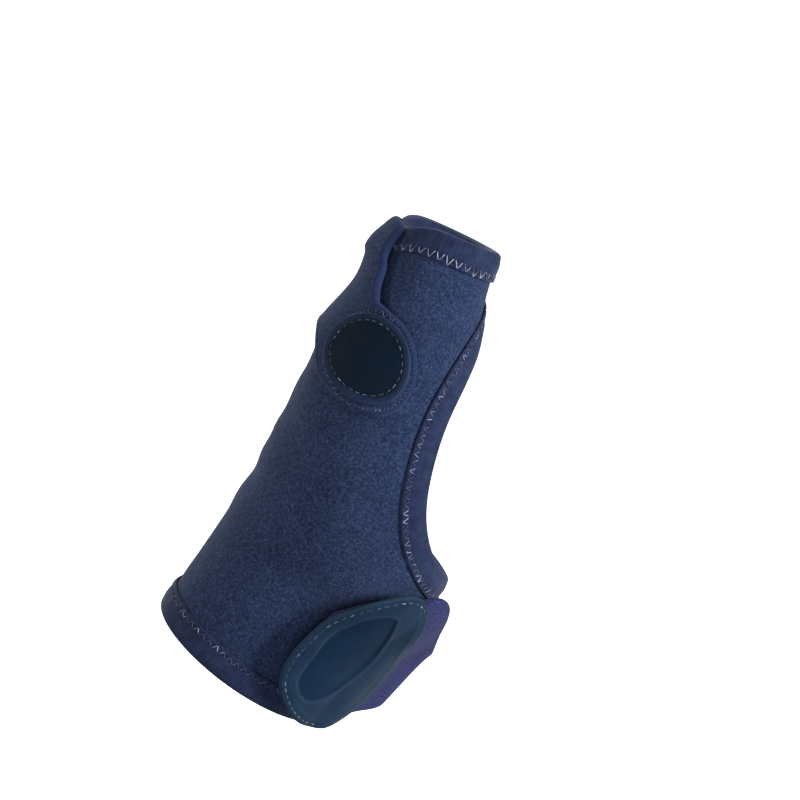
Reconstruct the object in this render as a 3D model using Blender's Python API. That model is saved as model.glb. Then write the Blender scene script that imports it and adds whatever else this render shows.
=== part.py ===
"""Thumb spica splint for the right hand, in its worn form.

A neoprene sleeve closes round the wrist, bridges the base of the thumb and closes again round the thumb.
Tape binds its three edges, and two neoprene straps hold it with moulded patches on their ends.
Metres, +Z up along the forearm. The forearm opening lies on z = 0, about the origin, and -Y is the side
that faces the viewer. Angles run round the splint: 0 is the thumb side, +90 the back of the hand.
"""

import math

import bmesh
import bpy
import numpy as np
from mathutils import Vector

# Driving sizes of the sleeve, outside
SPLINT_LENGTH = 0.1262
WRIST_WIDTH = 0.063
WRIST_THICKNESS = 0.048
THUMB_WIDTH = 0.0262
THUMB_LEAN = 0.031
THUMB_FORWARD = 0.010
THENAR_SWELL = 0.006
COLLAR_TILT = math.radians(16)
COLLAR_BACK_TILT = math.radians(6)
COLLAR_DIP = 0.0036
TURN_TO_VIEWER = math.radians(30)
NEOPRENE = 0.0032

# The hand's opening: the closed cuff below it, the bare cloth between its tape and the collar's, and its
# reach from the outer side
CUFF_HEIGHT = 0.050
WEB_STRIP = 0.002
DORSAL_REACH = math.radians(109)
PALMAR_REACH = math.radians(72)
WAIST_SHARE = 0.40
ROUNDNESS_BELOW = 2.5
ROUNDNESS_ABOVE = 2.0

# Tape, straps and patches
CLEARANCE = 0.0003
TAPE_WIDTH = 0.0065
TAPE_THICKNESS = 0.0009
TAPE_NOSE = 0.0006
STRAP_THICKNESS = 0.0026
WRIST_STRAP_SLACK = 0.0066
THUMB_STRAP_BULGE = 0.0019
TAB_THICKNESS = 0.0016
THUMB_TAB_DIAMETER = 0.0222
FLAP_MARGIN = 0.0022

# Counts of facets
ROUND_FACETS = 44
OPENING_FACETS = 48

# The sleeve's sections, as shares: height of the length, lean and forward of their sizes, thumb from the
# wrist's size (0) to the thumb's (1), swells of the thenar swell, tilt and back tilt of the collar's
FORM_COLUMNS = ("height", "lean", "forward", "thumb", "swell_out", "swell_back", "tilt", "back_tilt")
FORM_SECTIONS = (
    (0.00, 0.00, 0.00, 0.00, 0.00, 0.00, 0.00, 0.00),
    (0.12, 0.03, 0.05, 0.00, 0.15, 0.20, 0.00, 0.00),
    (0.24, 0.05, 0.15, 0.00, 0.20, 0.45, 0.00, 0.00),
    (0.36, 0.07, 0.35, 0.00, 0.30, 1.00, 0.05, 0.00),
    (0.48, 0.18, 0.70, 0.10, 0.25, 1.00, 0.20, 0.05),
    (0.60, 0.40, 1.00, 0.33, 0.30, 1.00, 0.45, 0.15),
    (0.72, 0.63, 1.05, 0.62, 0.40, 0.80, 0.70, 0.40),
    (0.84, 0.80, 0.90, 0.86, 0.25, 0.35, 0.90, 0.70),
    (1.00, 1.02, 0.55, 1.00, 0.00, 0.00, 1.00, 1.00),
)

# The wrist strap from its free end round the outer side to its sewn end: angle, lower and upper edge as
# shares of the cuff's height, slack as a share of the strap's slack
WRIST_STRAP_COLUMNS = ("angle", "lower", "upper", "slack")
WRIST_STRAP_STATIONS = (
    (56, 0.36, 0.68, 0.00),
    (64, 0.18, 0.83, 0.00),
    (76, 0.11, 0.92, 0.00),
    (88, 0.10, 0.96, 0.00),
    (98, 0.10, 1.01, 0.20),
    (108, 0.13, 0.99, 0.32),
    (118, 0.17, 0.85, 0.58),
    (130, 0.24, 0.71, 1.08),
    (147, 0.27, 0.70, 1.10),
    (166, 0.26, 0.74, 0.48),
    (185, 0.25, 0.76, 0.00),
    (207, 0.25, 0.76, 0.00),
    (230, 0.25, 0.76, 0.00),
)

# The outline of the wrist patch, turning from its straight edge: angle, height as a share of the cuff's
WRIST_TAB_MIDDLE = (80, 0.50)
WRIST_TAB_COLUMNS = ("angle", "height")
WRIST_TAB_OUTLINE = (
    (109, 0.54),
    (101, 0.77),
    (94.5, 0.91),
    (89, 0.98),
    (80, 1.00),
    (70, 0.95),
    (60, 0.85),
    (54, 0.70),
    (52, 0.52),
    (52, 0.34),
    (56, 0.20),
    (65, 0.10),
    (77, 0.035),
    (89, 0.02),
    (101, 0.07),
    (110, 0.26),
)

# The thumb strap beyond its round end: angle and share of the length at its lower edge, share at its upper
# edge, and the degrees that it fans out towards the upper edge
THUMB_TAB_PLACE = (12.5, 0.729)
THUMB_STRAP_COLUMNS = ("angle", "lower", "upper", "fan")
THUMB_STRAP_STATIONS = (
    (-2, 0.640, 0.832, 0),
    (-10, 0.646, 0.861, 0),
    (-18, 0.658, 0.901, 2),
    (-26, 0.680, 0.930, 6),
    (-34, 0.698, 0.955, 14),
    (-42, 0.711, 0.976, 23),
    (-51, 0.718, 0.988, 22),
    (-62, 0.725, 0.991, 13),
    (-76, 0.730, 0.990, 4),
    (-90, 0.735, 0.985, 0),
)

# The thumb strap bulges off the sleeve, and thins by a share towards the collar: places and spreads as
# shares of the length and in degrees
THUMB_STRAP_BULGE_PLACE = (-56, 0.918)
THUMB_STRAP_BULGE_SPREAD = (24, 0.050)
THUMB_STRAP_THINS = (0.93, 0.99, 0.5)

# The collar's edge dips under the thumb's pad: angle of the middle and spread, in degrees
COLLAR_DIP_PLACE = (-36, 32)

# Soft dents worn into the sleeve: share of the length and angle of the middle, their spreads, and depth as a
# share of the deepest
DENT_DEPTH = 0.0012
DENTS = (
    (0.35, -58, 0.035, 34, 0.8),
    (0.47, -40, 0.030, 26, -0.4),
    (0.62, -62, 0.040, 30, 0.5),
    (0.44, 62, 0.050, 16, 0.6),
)

FABRIC_NAVY = (0.040, 0.062, 0.160)
BINDING_BLUE = (0.018, 0.036, 0.135)
STRAP_BLUE = (0.055, 0.060, 0.190)
PATCH_SLATE = (0.016, 0.036, 0.075)


def read_column(columns, rows, name, place):
    """The named column at the given places of the first column, on a smooth curve through its rows."""
    table = np.array(rows, dtype=float)
    x = table[:, 0]
    y = table[:, columns.index(name)]
    order = np.argsort(x)
    x = x[order]
    y = y[order]
    slope = np.gradient(y, x)
    i = np.clip(np.searchsorted(x, place) - 1, 0, len(x) - 2)
    step = x[i + 1] - x[i]
    s = (place - x[i]) / step
    start = (2 * s**3 - 3 * s**2 + 1) * y[i] + (s**3 - 2 * s**2 + s) * step * slope[i]
    end = (3 * s**2 - 2 * s**3) * y[i + 1] + (s**3 - s**2) * step * slope[i + 1]
    return start + end


def form_point(share, angle):
    """The sleeve's outer surface at a share of its length and an angle round it, both arrays."""
    section = {
        name: read_column(FORM_COLUMNS, FORM_SECTIONS, name, share) for name in FORM_COLUMNS[1:]
    }
    thumb = section["thumb"]
    half_out = (WRIST_WIDTH * (1 - thumb) + THUMB_WIDTH * thumb) / 2 + THENAR_SWELL * section["swell_out"]
    half_back = (WRIST_THICKNESS * (1 - thumb) + THUMB_WIDTH * thumb) / 2
    half_back = half_back + THENAR_SWELL * section["swell_back"]
    for middle, turn, share_spread, angle_spread, depth in DENTS:
        away = (np.degrees(angle) - turn + 180) % 360 - 180
        spread = ((share - middle) / share_spread) ** 2 + (away / angle_spread) ** 2
        dent = DENT_DEPTH * depth * np.exp(-spread)
        half_out = half_out - dent
        half_back = half_back - dent
    out = half_out * np.cos(angle)
    back = half_back * np.sin(angle)
    x = math.cos(TURN_TO_VIEWER) * back - math.sin(TURN_TO_VIEWER) * out
    y = -math.cos(TURN_TO_VIEWER) * out - math.sin(TURN_TO_VIEWER) * back
    tilt = COLLAR_TILT * section["tilt"]
    back_tilt = COLLAR_BACK_TILT * section["back_tilt"]
    z = -y * np.sin(back_tilt)
    y = y * np.cos(back_tilt)
    x, z = x * np.cos(tilt) - z * np.sin(tilt), x * np.sin(tilt) + z * np.cos(tilt)
    x = x - THUMB_LEAN * section["lean"]
    y = y - THUMB_FORWARD * section["forward"]
    z = z + CLEARANCE + TAPE_THICKNESS + TAPE_NOSE + SPLINT_LENGTH * share
    return np.stack([x, y, z], axis=-1)


def form_frame(share, angle):
    """The surface's slopes along the length and round the angle, and its outward normal."""
    nudge = 1e-4
    along = (form_point(share + nudge, angle) - form_point(share - nudge, angle)) / (2 * nudge)
    around = (form_point(share, angle + nudge) - form_point(share, angle - nudge)) / (2 * nudge)
    normal = np.cross(around, along)
    normal /= np.linalg.norm(normal, axis=-1, keepdims=True)
    return along, around, normal


def lifted(share, angle, height):
    """Points at a height over the sleeve's outer surface."""
    normal = form_frame(share, angle)[2]
    return form_point(share, angle) + np.asarray(height)[..., None] * normal


def surface_steps(share, angle, direction):
    """The change of share and angle for one metre along a direction that lies in the surface."""
    along, around, _ = form_frame(share, angle)
    aa = (along * along).sum(-1)
    ab = (along * around).sum(-1)
    bb = (around * around).sum(-1)
    da = (along * direction).sum(-1)
    db = (around * direction).sum(-1)
    span = aa * bb - ab * ab
    return (bb * da - ab * db) / span, (aa * db - ab * da) / span


def collar_edge(angle):
    """The sleeve's upper end at an angle, as a share of its length."""
    middle, spread = COLLAR_DIP_PLACE
    away = (np.degrees(angle) - middle + 180) % 360 - 180
    return 1 - COLLAR_DIP / SPLINT_LENGTH * np.exp(-((away / spread) ** 2))


def opening_edge(turn):
    """The edge of the hand's opening: turn 0 at the back's corner, 0.25 at the cuff, 0.5 at the palm's."""
    low = CUFF_HEIGHT / SPLINT_LENGTH
    high = 1 - (2 * TAPE_WIDTH + WEB_STRIP) / SPLINT_LENGTH
    middle = low + WAIST_SHARE * (high - low)
    swing = np.cos(2 * math.pi * turn)
    rise = np.sin(2 * math.pi * turn)
    power = np.where(rise > 0, 2 / ROUNDNESS_BELOW, 2 / ROUNDNESS_ABOVE)
    reach = np.where(swing > 0, DORSAL_REACH, PALMAR_REACH)
    angle = math.pi - reach * np.sign(swing) * np.abs(swing) ** power
    drop = np.where(rise > 0, middle - low, high - middle)
    share = middle - drop * np.sign(rise) * np.abs(rise) ** power
    return share, angle


def even_turns():
    """Turns that lie evenly along the opening's edge, with both of its corners among them."""
    turns = []
    for start in (0.0, 0.5):
        fine = np.linspace(start, start + 0.5, 801)
        places = form_point(*opening_edge(fine))
        steps = np.linalg.norm(np.diff(places, axis=0), axis=1)
        length = np.concatenate([[0.0], np.cumsum(steps)])
        even = np.linspace(0, length[-1], OPENING_FACETS // 2, endpoint=False)
        turns.append(np.interp(even, length, fine))
    return np.concatenate(turns)


def opening_inward(turn):
    """The unit direction from the opening's edge into the cloth."""
    nudge = 1e-4
    before = form_point(*opening_edge(turn - nudge))
    after = form_point(*opening_edge(turn + nudge))
    tangent = after - before
    tangent /= np.linalg.norm(tangent, axis=-1, keepdims=True)
    normal = form_frame(*opening_edge(turn))[2]
    return np.cross(tangent, normal)


def opening_inset(turn, distance):
    """The line at a distance from the opening's edge, as shares and angles."""
    share, angle = opening_edge(turn)
    share_step, angle_step = surface_steps(share, angle, opening_inward(turn))
    return share + distance * share_step, angle + distance * angle_step


def finish_body(name, vertices, faces, colour, roughness):
    """An object of one closed mesh, shaded smooth, with its own material."""
    mesh = bpy.data.meshes.new(name)
    mesh.from_pydata([Vector(v) for v in vertices], [], faces)
    work = bmesh.new()
    work.from_mesh(mesh)
    bmesh.ops.recalc_face_normals(work, faces=work.faces)
    bmesh.ops.triangulate(work, faces=work.faces)
    work.to_mesh(mesh)
    work.free()
    mesh.shade_smooth()
    mesh.set_sharp_from_angle(angle=math.radians(40))
    material = bpy.data.materials.new(name)
    material.use_nodes = True
    shader = material.node_tree.nodes["Principled BSDF"]
    shader.inputs["Base Color"].default_value = (*colour, 1.0)
    shader.inputs["Roughness"].default_value = roughness
    shader.inputs["Metallic"].default_value = 0.0
    mesh.materials.append(material)
    body = bpy.data.objects.new(name, mesh)
    bpy.context.scene.collection.objects.link(body)
    return body


def thick_sheet(name, share, angle, faces, outer, inner, colour, roughness):
    """A wall between two heights over the sleeve's surface, closed along its free edges."""
    share = np.asarray(share, dtype=float)
    angle = np.asarray(angle, dtype=float)
    outer = np.broadcast_to(outer, share.shape)
    inner = np.broadcast_to(inner, share.shape)
    count = len(share)
    vertices = np.concatenate([lifted(share, angle, outer), lifted(share, angle, inner)])
    edges = {}
    for face in faces:
        for start, end in zip(face, face[1:] + face[:1]):
            edges[(start, end)] = edges.get((start, end), 0) + 1
    walls = [(b, a, a + count, b + count) for a, b in edges if (b, a) not in edges]
    under = [tuple(v + count for v in reversed(face)) for face in faces]
    return finish_body(name, vertices, list(faces) + under + walls, colour, roughness)


def grid_faces(rows, columns, closed=False, offset=0):
    """Quads of a grid whose vertices run column by column within each row."""
    faces = []
    for row in range(rows - 1):
        for column in range(columns if closed else columns - 1):
            beside = (column + 1) % columns
            here = offset + row * columns
            above = here + columns
            faces.append((here + column, here + beside, above + beside, above + column))
    return faces


def disc_faces(rings, spokes):
    """Faces of a round grid: its middle is vertex 0, and its rings run outwards."""
    faces = [(0, 1 + spoke, 1 + (spoke + 1) % spokes) for spoke in range(spokes)]
    return faces + [tuple(reversed(face)) for face in grid_faces(rings, spokes, True, 1)]


def make_sleeve():
    """One sheet of neoprene, closed round the wrist and round the thumb, open where the hand leaves."""
    turns = even_turns()
    half = OPENING_FACETS // 2
    inset_share, inset_angle = opening_inset(turns, TAPE_WIDTH)
    front = ROUND_FACETS - half
    spare_angle = np.linspace(inset_angle[half] - 2 * math.pi, inset_angle[0], front + 1)[1:-1]
    spare_share = np.linspace(inset_share[half], inset_share[0], front + 1)[1:-1]
    lower_share = np.concatenate([inset_share[: half + 1], spare_share])
    lower_angle = np.concatenate([inset_angle[: half + 1], spare_angle + 2 * math.pi])
    back_to_front = np.arange(OPENING_FACETS, half - 1, -1) % OPENING_FACETS
    upper_share = np.concatenate([inset_share[back_to_front], spare_share])
    upper_angle = np.concatenate([inset_angle[back_to_front], spare_angle + 2 * math.pi])
    even_angle = inset_angle[0] + np.linspace(0, 2 * math.pi, ROUND_FACETS, endpoint=False)
    rows_below = 8
    rows_above = 9
    share = []
    angle = []
    for row in range(rows_below):
        part = row / (rows_below - 1)
        share.append(part * lower_share)
        angle.append(even_angle + (lower_angle - even_angle) * part**2)
    for row in range(1, rows_above):
        part = 1 - row / (rows_above - 1)
        angle.append(even_angle + (upper_angle - even_angle) * part**2)
        end = collar_edge(angle[-1])
        share.append(end - part * (end - upper_share))
    # The top row of the lower panel carries the front of the upper one, and the opening parts them
    faces = grid_faces(rows_below, ROUND_FACETS, True)
    count = rows_below * ROUND_FACETS
    upper_first = []
    extra_share = []
    extra_angle = []
    for column in range(ROUND_FACETS):
        if 0 < column < half:
            upper_first.append(count + len(extra_share))
            extra_share.append(upper_share[column])
            extra_angle.append(upper_angle[column])
        else:
            upper_first.append((rows_below - 1) * ROUND_FACETS + column)
    share = np.concatenate(share[:rows_below] + [np.array(extra_share)] + share[rows_below:])
    angle = np.concatenate(angle[:rows_below] + [np.array(extra_angle)] + angle[rows_below:])
    start = count + len(extra_share)
    row_below = upper_first
    for row in range(1, rows_above):
        row_above = [start + (row - 1) * ROUND_FACETS + column for column in range(ROUND_FACETS)]
        for column in range(ROUND_FACETS):
            beside = (column + 1) % ROUND_FACETS
            faces.append((row_below[column], row_below[beside], row_above[beside], row_above[column]))
        row_below = row_above
    # A border as wide as the tape runs round the opening
    border = [(rows_below - 1) * ROUND_FACETS + column for column in range(half + 1)]
    border += [upper_first[half - step] for step in range(1, half)]
    for inset in (TAPE_WIDTH / 2, 0.0):
        ring_share, ring_angle = opening_inset(turns, inset)
        ring = [len(share) + step for step in range(OPENING_FACETS)]
        share = np.concatenate([share, ring_share])
        angle = np.concatenate([angle, ring_angle])
        for step in range(OPENING_FACETS):
            beside = (step + 1) % OPENING_FACETS
            faces.append((border[step], border[beside], ring[beside], ring[step]))
        border = ring
    thick_sheet("sleeve", share, angle, faces, 0.0, -NEOPRENE, FABRIC_NAVY, 0.95)


def make_tape(name, share, angle, inward, colour):
    """Tape folded over a closed edge of the sleeve, with a leg on each side of the neoprene."""
    reach = CLEARANCE + TAPE_THICKNESS
    half_height = NEOPRENE / 2 + reach
    profile = [(TAPE_WIDTH, reach), (TAPE_WIDTH / 2, reach), (0.0, reach)]
    for turn in (45, 0, -45):
        nose = (reach + TAPE_NOSE) * math.cos(math.radians(turn)) ** 0.7
        profile.append((-nose, half_height * math.sin(math.radians(turn)) - NEOPRENE / 2))
    for along in (0.0, TAPE_WIDTH / 2, TAPE_WIDTH):
        profile.append((along, -NEOPRENE - reach))
    profile += [(TAPE_WIDTH, -NEOPRENE - CLEARANCE), (TAPE_WIDTH / 2, -NEOPRENE - CLEARANCE)]
    profile += [(-CLEARANCE, -NEOPRENE - CLEARANCE), (-CLEARANCE, CLEARANCE)]
    profile += [(TAPE_WIDTH / 2, CLEARANCE), (TAPE_WIDTH, CLEARANCE)]
    share_step, angle_step = surface_steps(share, angle, inward)
    rows = []
    for along, height in profile:
        on_cloth = max(along, 0.0)
        places = lifted(share + on_cloth * share_step, angle + on_cloth * angle_step, height)
        rows.append(places + min(along, 0.0) * inward)
    stations = len(share)
    vertices = np.stack(rows, axis=1).reshape(-1, 3)
    points = len(profile)
    faces = []
    for station in range(stations):
        beside = (station + 1) % stations
        for point in range(points):
            after = (point + 1) % points
            faces.append((
                station * points + point,
                station * points + after,
                beside * points + after,
                beside * points + point,
            ))
    finish_body(name, vertices, faces, colour, 0.75)


def make_round_tape(name, angle, share, direction):
    """Tape on a round end of the sleeve, whose inner side lies along the length in the given direction."""
    _, around, normal = form_frame(share, angle)
    inward = np.cross(normal, around)
    inward /= np.linalg.norm(inward, axis=-1, keepdims=True)
    make_tape(name, share, angle, inward * direction, BINDING_BLUE)


def tape_cover(share):
    """The height of a strap's inner face over the sleeve: low on the cloth, over the tape at the collar."""
    low = 2 * CLEARANCE
    high = 2 * CLEARANCE + TAPE_THICKNESS
    end = 1 - (TAPE_WIDTH + TAPE_THICKNESS + COLLAR_DIP) / SPLINT_LENGTH
    start = end - STRAP_THICKNESS / SPLINT_LENGTH
    part = np.clip((share - start) / (end - start), 0, 1)
    return low + (high - low) * part * part * (3 - 2 * part)


def make_wrist_strap():
    """A tapering neoprene strap round the outer side of the cuff, standing off where it is slack."""
    place = np.linspace(WRIST_STRAP_STATIONS[0][0], WRIST_STRAP_STATIONS[-1][0], 25)
    lower, upper, slack = (
        read_column(WRIST_STRAP_COLUMNS, WRIST_STRAP_STATIONS, name, place)
        for name in WRIST_STRAP_COLUMNS[1:]
    )
    across = np.linspace(0, 1, 6)
    share = (lower + (upper - lower) * across[:, None]) * CUFF_HEIGHT / SPLINT_LENGTH
    angle = np.broadcast_to(np.radians(place), share.shape)
    inner = 2 * CLEARANCE + TAPE_THICKNESS + WRIST_STRAP_SLACK * np.clip(slack, 0, None)
    inner = np.broadcast_to(inner, share.shape).ravel()
    faces = grid_faces(len(across), len(place))
    thick_sheet(
        "wrist_strap", share.ravel(), angle.ravel(), faces, inner + STRAP_THICKNESS, inner, STRAP_BLUE, 0.9
    )


def make_wrist_tab():
    """A moulded patch that covers the free end of the wrist strap."""
    outline = np.array(WRIST_TAB_OUTLINE, dtype=float)
    spokes = 2 * len(outline)
    knots = np.arange(-2, len(outline) + 3)
    rows = np.column_stack([knots, outline[knots % len(outline)]])
    turn = np.arange(spokes) / 2
    columns = ("knot",) + WRIST_TAB_COLUMNS
    angle = read_column(columns, rows, "angle", turn)
    height = read_column(columns, rows, "height", turn)
    parts = (0.35, 0.7, 1.0)
    angles = [np.array([WRIST_TAB_MIDDLE[0]])]
    heights = [np.array([WRIST_TAB_MIDDLE[1]])]
    for part in parts:
        angles.append(WRIST_TAB_MIDDLE[0] + part * (angle - WRIST_TAB_MIDDLE[0]))
        heights.append(WRIST_TAB_MIDDLE[1] + part * (height - WRIST_TAB_MIDDLE[1]))
    place = np.concatenate(angles)
    share = np.concatenate(heights) * CUFF_HEIGHT / SPLINT_LENGTH
    on_strap = np.maximum(place, WRIST_STRAP_STATIONS[0][0])
    slack = np.clip(read_column(WRIST_STRAP_COLUMNS, WRIST_STRAP_STATIONS, "slack", on_strap), 0, None)
    inner = 3 * CLEARANCE + TAPE_THICKNESS + STRAP_THICKNESS + WRIST_STRAP_SLACK * slack
    faces = disc_faces(len(parts), spokes)
    thick_sheet(
        "wrist_tab", share, np.radians(place), faces, inner + TAB_THICKNESS, inner, PATCH_SLATE, 0.5
    )


def disc_places(diameter, parts, spokes):
    """Shares and angles of a round grid about the thumb patch's place."""
    angle = math.radians(THUMB_TAB_PLACE[0])
    share = THUMB_TAB_PLACE[1]
    along, around, _ = form_frame(np.array([share]), np.array([angle]))
    share_step = 1 / np.linalg.norm(along)
    angle_step = 1 / np.linalg.norm(around)
    turn = 2 * math.pi * np.arange(spokes) / spokes
    shares = [np.array([share])]
    angles = [np.array([angle])]
    for part in parts:
        shares.append(share + diameter / 2 * part * np.sin(turn) * share_step)
        angles.append(angle + diameter / 2 * part * np.cos(turn) * angle_step)
    return np.concatenate(shares), np.concatenate(angles)


def make_thumb_strap():
    """A tongue of neoprene that comes round the thumb from the palm and ends in a round flap."""
    angle = math.radians(THUMB_TAB_PLACE[0])
    along, around, _ = form_frame(np.array([THUMB_TAB_PLACE[1]]), np.array([angle]))
    share_step = 1 / np.linalg.norm(along)
    angle_step = 1 / np.linalg.norm(around)
    radius = THUMB_TAB_DIAMETER / 2 + FLAP_MARGIN
    turns = np.radians(np.linspace(8, 82, 6))
    end_angle = angle + radius * np.cos(turns) * angle_step
    end_lower = THUMB_TAB_PLACE[1] - radius * np.sin(turns) * share_step
    end_upper = THUMB_TAB_PLACE[1] + radius * np.sin(turns) * share_step
    place = np.linspace(THUMB_STRAP_STATIONS[0][0], THUMB_STRAP_STATIONS[-1][0], 19)
    lower, upper, fan = (
        read_column(THUMB_STRAP_COLUMNS, THUMB_STRAP_STATIONS, name, place)
        for name in THUMB_STRAP_COLUMNS[1:]
    )
    fan = np.concatenate([np.zeros(len(turns)), np.radians(fan)])
    angle = np.concatenate([end_angle, np.radians(place)])
    lower = np.concatenate([end_lower, lower])
    upper = np.concatenate([end_upper, upper])
    across = np.linspace(0, 1, 9)
    share = lower + (upper - lower) * across[:, None]
    angle = angle + fan * across[:, None] ** 2
    off_angle = (np.degrees(angle) - THUMB_STRAP_BULGE_PLACE[0]) / THUMB_STRAP_BULGE_SPREAD[0]
    off_share = (share - THUMB_STRAP_BULGE_PLACE[1]) / THUMB_STRAP_BULGE_SPREAD[1]
    inner = tape_cover(share) + THUMB_STRAP_BULGE * np.exp(-(off_angle**2) - off_share**2)
    thin_start, thin_end, thinned = THUMB_STRAP_THINS
    thin = np.clip((share - thin_start) / (thin_end - thin_start), 0, 1)
    outer = inner + STRAP_THICKNESS * (1 - thinned * thin**2)
    faces = grid_faces(len(across), share.shape[1])
    thick_sheet(
        "thumb_strap", share.ravel(), angle.ravel(), faces, outer.ravel(), inner.ravel(), FABRIC_NAVY, 0.95
    )


def make_thumb_tab():
    """A round moulded patch on the flap's round end."""
    parts = (0.4, 0.75, 1.0)
    spokes = 24
    share, angle = disc_places(THUMB_TAB_DIAMETER, parts, spokes)
    inner = tape_cover(share) + STRAP_THICKNESS + CLEARANCE
    faces = disc_faces(len(parts), spokes)
    thick_sheet("thumb_tab", share, angle, faces, inner + TAB_THICKNESS, inner, PATCH_SLATE, 0.5)


for old in list(bpy.data.objects):
    bpy.data.objects.remove(old, do_unlink=True)

make_sleeve()
round_angles = np.linspace(0, 2 * math.pi, ROUND_FACETS, endpoint=False)
make_round_tape("forearm_binding", round_angles, np.zeros(ROUND_FACETS), 1)
make_round_tape("thumb_binding", round_angles, collar_edge(round_angles), -1)
edge_turns = even_turns()
make_tape("hand_binding", *opening_edge(edge_turns), opening_inward(edge_turns), BINDING_BLUE)
make_wrist_strap()
make_wrist_tab()
make_thumb_strap()
make_thumb_tab()
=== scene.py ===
"""A right-hand thumb spica splint of blue neoprene, dressed over its frame."""

import math

import bmesh
import bpy
import numpy as np
from mathutils import Matrix, Vector


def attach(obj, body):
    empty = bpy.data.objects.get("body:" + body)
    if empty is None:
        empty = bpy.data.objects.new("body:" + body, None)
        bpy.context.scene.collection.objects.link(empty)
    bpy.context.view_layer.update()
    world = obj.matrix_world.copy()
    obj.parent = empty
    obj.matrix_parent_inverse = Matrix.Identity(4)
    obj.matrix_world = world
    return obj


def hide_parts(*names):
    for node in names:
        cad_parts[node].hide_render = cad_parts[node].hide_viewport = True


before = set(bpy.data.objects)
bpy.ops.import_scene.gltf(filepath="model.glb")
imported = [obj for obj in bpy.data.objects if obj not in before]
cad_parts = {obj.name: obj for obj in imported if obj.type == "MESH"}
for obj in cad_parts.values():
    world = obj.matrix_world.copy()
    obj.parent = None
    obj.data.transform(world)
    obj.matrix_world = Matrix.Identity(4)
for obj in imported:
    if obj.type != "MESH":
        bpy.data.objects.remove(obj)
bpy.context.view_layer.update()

# The view: a long lens a little above the splint, rolled so that the forearm runs down to the left.
# Soft light comes from the upper right, the front and the left, over a white floor behind the splint.
VIEW_TARGET = Vector((-0.0137, 0.0, 0.0842))
VIEW_DISTANCE = 1.2
VIEW_ELEVATION = math.radians(12)
VIEW_ROLL = math.radians(41)
FOCAL_LENGTH_MM = 200
SKY_STRENGTH = 0.28

scene = bpy.context.scene
scene.view_settings.view_transform = "Standard"
forward = Vector((0, math.cos(VIEW_ELEVATION), -math.sin(VIEW_ELEVATION)))
level_up = Vector((0, math.sin(VIEW_ELEVATION), math.cos(VIEW_ELEVATION)))
level_right = Vector((1, 0, 0))
view_up = level_up * math.cos(VIEW_ROLL) - level_right * math.sin(VIEW_ROLL)
view_right = level_right * math.cos(VIEW_ROLL) + level_up * math.sin(VIEW_ROLL)
lens = bpy.data.cameras.new("view")
lens.lens = FOCAL_LENGTH_MM
lens.sensor_width = 36
lens.clip_start = 0.05
lens.clip_end = 60
camera = bpy.data.objects.new("view", lens)
scene.collection.objects.link(camera)
turned = Matrix((view_right, view_up, -forward)).transposed()
camera.matrix_world = Matrix.Translation(VIEW_TARGET - forward * VIEW_DISTANCE) @ turned.to_4x4()
scene.camera = camera

# Name, place, size, watts and colour of each light
SOFTBOXES = (
    ("light_right", (1.75, -0.66, 1.82), 0.9, 120.0, (1.0, 0.985, 0.95)),
    ("light_front", (0.10, -1.25, -0.02), 0.8, 8.5, (1.0, 0.97, 0.94)),
    ("light_left", (-1.10, -0.45, -0.05), 0.3, 7.5, (1.0, 0.84, 0.64)),
    ("light_back", (-0.7, 0.7, 0.5), 0.6, 5.0, (1.0, 1.0, 1.0)),
)
for name, place, size, watts, colour in SOFTBOXES:
    lamp = bpy.data.lights.new(name, "AREA")
    lamp.size = size
    lamp.energy = watts
    lamp.color = colour
    box = bpy.data.objects.new(name, lamp)
    box.location = place
    box.rotation_mode = "QUATERNION"
    box.rotation_quaternion = (VIEW_TARGET - Vector(place)).to_track_quat("-Z", "Y")
    scene.collection.objects.link(box)

sky = bpy.data.worlds.new("studio")
sky.use_nodes = True
sky.node_tree.nodes["Background"].inputs["Color"].default_value = (1.0, 1.0, 1.0, 1.0)
sky.node_tree.nodes["Background"].inputs["Strength"].default_value = SKY_STRENGTH
scene.world = sky

floor_mesh = bpy.data.meshes.new("floor")
corners = [(-14, 0.35, -0.25), (14, 0.35, -0.25), (14, 22, -0.25), (-14, 22, -0.25)]
floor_mesh.from_pydata(corners, [], [(0, 1, 2, 3)])
floor = bpy.data.objects.new("floor", floor_mesh)
scene.collection.objects.link(floor)
paint = bpy.data.materials.new("floor_paint")
paint.use_nodes = True
shader = paint.node_tree.nodes["Principled BSDF"]
shader.inputs["Base Color"].default_value = (0.9, 0.9, 0.9, 1.0)
shader.inputs["Roughness"].default_value = 0.9
shader.inputs["Emission Color"].default_value = (1.0, 1.0, 1.0, 1.0)
shader.inputs["Emission Strength"].default_value = 1.0
floor_mesh.materials.append(paint)

# The sleeve: one sheet of 3 mm neoprene faced with brushed blue cloth, closed round the wrist and again
# round the thumb. It keeps the form of a worn splint, and everything else is sewn or laid on it.
SPLINT_LENGTH = 0.1262
WRIST_WIDTH = 0.063
WRIST_THICKNESS = 0.048
THUMB_WIDTH = 0.0262
THUMB_LEAN = 0.031
THUMB_FORWARD = 0.010
THENAR_SWELL = 0.006
COLLAR_TILT = math.radians(16)
COLLAR_BACK_TILT = math.radians(6)
COLLAR_DIP = 0.0036
COLLAR_DIP_PLACE = (-36, 32)
TURN_TO_VIEWER = math.radians(30)
NEOPRENE = 0.0032
CUFF_HEIGHT = 0.050
CUFF_SHARE = CUFF_HEIGHT / SPLINT_LENGTH
WEB_STRIP = 0.002
DORSAL_REACH = math.radians(109)
PALMAR_REACH = math.radians(72)
WAIST_SHARE = 0.40
ROUNDNESS_BELOW = 2.5
ROUNDNESS_ABOVE = 2.0
CLEARANCE = 0.0003
TAPE_WIDTH = 0.0065
TAPE_THICKNESS = 0.0009
TAPE_NOSE = 0.0006
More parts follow.
